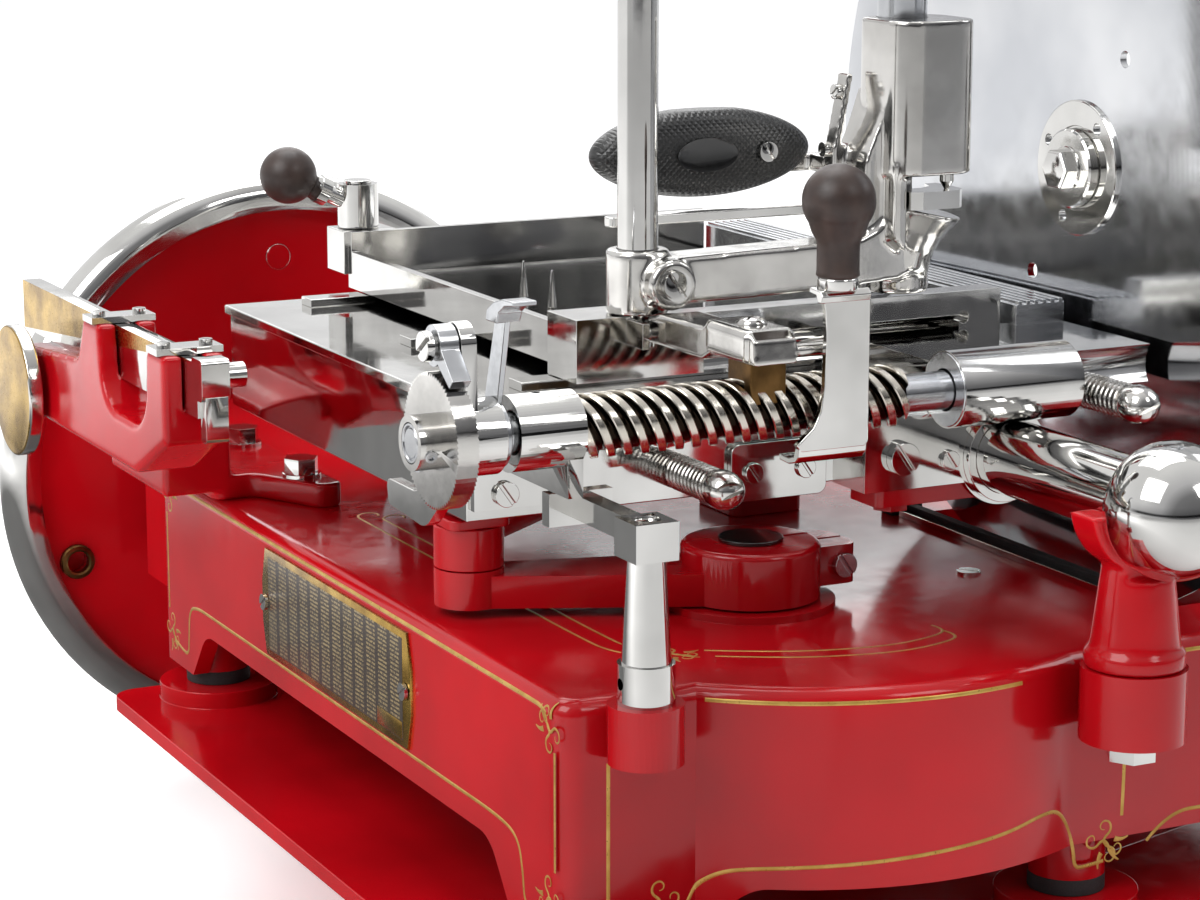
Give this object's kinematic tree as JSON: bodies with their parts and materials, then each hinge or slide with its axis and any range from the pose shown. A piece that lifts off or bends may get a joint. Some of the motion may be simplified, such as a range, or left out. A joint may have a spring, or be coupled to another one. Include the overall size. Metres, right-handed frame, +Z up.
{
  "type": "hand crank meat slicer",
  "caption": "Hand cranked meat slicer with a flywheel, round blade, sliding carriage, screw-fed meat table and swinging meat clamp on a cast case.",
  "frame": {"origin": "centre of the stand's four bolt holes, on the surface it stands on", "axes": "+X towards the blade (feed direction), +Y away from the near column towards the flywheel, +Z up"},
  "size_m": [0.5644, 0.8394, 0.5604],
  "materials": {
    "red": "glossy enamel",
    "chrome": "mirror",
    "steel": "fine ground",
    "brass": "satin",
    "bronze": "turned",
    "rubber": "matt",
    "black": "fine chequer",
    "dark_ball": "polished",
    "wood": "oiled"
  },
  "bodies": {
    "base": {"plinth": "red", "base_plate": "red", "base_pads": "rubber", "housing": "red", "slot_trim": "chrome", "index_plate": "brass", "body_fasteners": "chrome", "slide_rod": "chrome", "near_column": "red", "ball_cap": "chrome", "rear_column": "red", "stop": "chrome", "drive_bushes": "bronze", "blade_head": "red", "chain_cover": "red", "blade_guard": "chrome", "slice_tray": "chrome", "index_bracket": "red"},
    "flywheel": {"flywheel": "red", "flywheel_rim": "chrome", "flywheel_drive": "steel", "handle_spindle": "chrome"},
    "handle": {"handle_grip": "wood"},
    "crank": {"crank_drive": "steel", "crank_arm": "red", "crank_fittings": "steel"},
    "connecting_rod": {"rod_assembly": "red"},
    "carriage": {"carriage": "chrome", "sleeve": "chrome", "shoe_plate": "red", "screw_tube": "chrome", "left_bearing": "chrome", "carriage_fittings": "chrome", "end_plate": "steel", "carriage_pins": "steel"},
    "roller": {"roller": "steel"},
    "feed_screw": {"lead_screw": "steel", "ratchet_wheel": "steel"},
    "rocker": {"rocker_arm": "chrome"},
    "pawl": {"pawl": "steel"},
    "release_lever": {"release_lever": "steel"},
    "table": {"meat_table": "chrome", "clamp_column": "chrome", "end_post": "chrome"},
    "nut_block": {"nut_block": "chrome", "half_nut": "bronze"},
    "nut_lever": {"nut_lever": "chrome", "nut_lever_knob": "dark_ball"},
    "end_lever": {"end_clamp_lever": "chrome"},
    "clamp_arm": {"clamp_arm": "steel", "clamp_grip": "black", "clamp_fittings": "steel"},
    "trigger": {"trigger_bar": "chrome"},
    "press": {"press_shaft": "steel", "press_plate": "steel"},
    "blade": {"blade": "chrome", "blade_clamp": "steel", "blade_drive": "steel"},
    "index_bar": {"index_bar": "chrome"},
    "index_knob": {"index_knob": "steel"}
  },
  "joints": [
    {"name": "flywheel_spin", "type": "hinge", "parent": "base", "child": "flywheel", "pos_m": [-0.0786, 0.4285, 0.1664], "axis": [0, 1, 0], "continuous": true},
    {"name": "grip_spin", "type": "hinge", "parent": "flywheel", "child": "handle", "pos_m": [-0.0786, 0.4285, 0.2784], "axis": [0, 1, 0], "continuous": true},
    {"name": "crank_spin", "type": "hinge", "parent": "base", "child": "crank", "pos_m": [-0.0786, -0.098, 0.213], "axis": [0, 0, 1], "continuous": true},
    {"name": "blade_spin", "type": "hinge", "parent": "base", "child": "blade", "pos_m": [0.08, -0.086, 0.373], "axis": [1, 0, 0], "continuous": true},
    {"name": "carriage_slide", "type": "slide", "parent": "base", "child": "carriage", "axis": [0, 1, 0], "range_m": [-0.05, 0.144]},
    {"name": "rod_swing", "type": "hinge", "parent": "carriage", "child": "connecting_rod", "pos_m": [-0.036, 0.0532, 0.24], "axis": [0, 0, 1], "range_deg": [-16, 45]},
    {"name": "roller_spin", "type": "hinge", "parent": "carriage", "child": "roller", "pos_m": [-0.12, 0.15, 0.23], "axis": [-1, 0, 0], "range_deg": [-140, 402]},
    {"name": "table_slide", "type": "slide", "parent": "carriage", "child": "table", "axis": [1, 0, 0], "range_m": [-0.062, 0]},
    {"name": "screw_turn", "type": "hinge", "parent": "carriage", "child": "feed_screw", "pos_m": [-0.2, -0.16, 0.302], "axis": [1, 0, 0], "range_deg": [-1, 639]},
    {"name": "rocker_swing", "type": "hinge", "parent": "carriage", "child": "rocker", "pos_m": [-0.225, -0.16, 0.302], "axis": [1, 0, 0], "range_deg": [-20, 20]},
    {"name": "pawl_click", "type": "hinge", "parent": "rocker", "child": "pawl", "pos_m": [-0.238, -0.16, 0.336], "axis": [-1, 0, 0], "range_deg": [0, 15], "stiffness_Nm_per_rad": 0.05, "springref_deg": -8.59},
    {"name": "release_turn", "type": "hinge", "parent": "carriage", "child": "release_lever", "pos_m": [-0.217, -0.16, 0.302], "axis": [1, 0, 0], "range_deg": [-10, 15]},
    {"name": "nut_lever_swing", "type": "hinge", "parent": "nut_block", "child": "nut_lever", "pos_m": [-0.083, -0.178, 0.322], "axis": [-1, 0, 0], "range_deg": [0, 25]},
    {"name": "nut_lift", "type": "hinge", "parent": "table", "child": "nut_block", "pos_m": [-0.109, -0.092, 0.32], "axis": [-1, 0, 0], "range_deg": [0, 7.6]},
    {"name": "end_lever_turn", "type": "hinge", "parent": "table", "child": "end_lever", "pos_m": [-0.127, 0.19, 0.335], "axis": [0, 0, -1], "range_deg": [-20, 60]},
    {"name": "clamp_swing", "type": "hinge", "parent": "table", "child": "clamp_arm", "pos_m": [-0.118, -0.076, 0.34], "axis": [0, 0, 1], "range_deg": [0, 75]},
    {"name": "trigger_pull", "type": "hinge", "parent": "clamp_arm", "child": "trigger", "pos_m": [-0.0205, -0.06, 0.36], "axis": [0, 1, 0], "range_deg": [0, 3], "stiffness_Nm_per_rad": 1, "springref_deg": -5.73},
    {"name": "press_slide", "type": "slide", "parent": "clamp_arm", "child": "press", "axis": [0, 0, 1], "range_m": [-0.06, 0.04]},
    {"name": "index_knob_turn", "type": "hinge", "parent": "base", "child": "index_knob", "pos_m": [-0.255, 0.297, 0.243], "axis": [-1, 0, 0], "range_deg": [0, 300]},
    {"name": "index_bar_slide", "type": "slide", "parent": "base", "child": "index_bar", "axis": [0, -1, 0], "range_m": [0, 0.0202]}
  ],
  "couplings": [
    {"joint": "crank_spin", "follows": "flywheel_spin", "ratio": -1},
    {"joint": "blade_spin", "follows": "flywheel_spin", "ratio": 1.5},
    {"joint": "rod_swing", "follows": "carriage_slide", "rad_per_m": 5.36},
    {"joint": "roller_spin", "follows": "carriage_slide", "rad_per_m": 48.43},
    {"joint": "screw_turn", "follows": "table_slide", "rad_per_m": -179.52},
    {"joint": "nut_lift", "follows": "nut_lever_swing", "ratio": 0.3},
    {"joint": "index_bar_slide", "follows": "index_knob_turn", "m_per_rad": 0.00382}
  ]
}
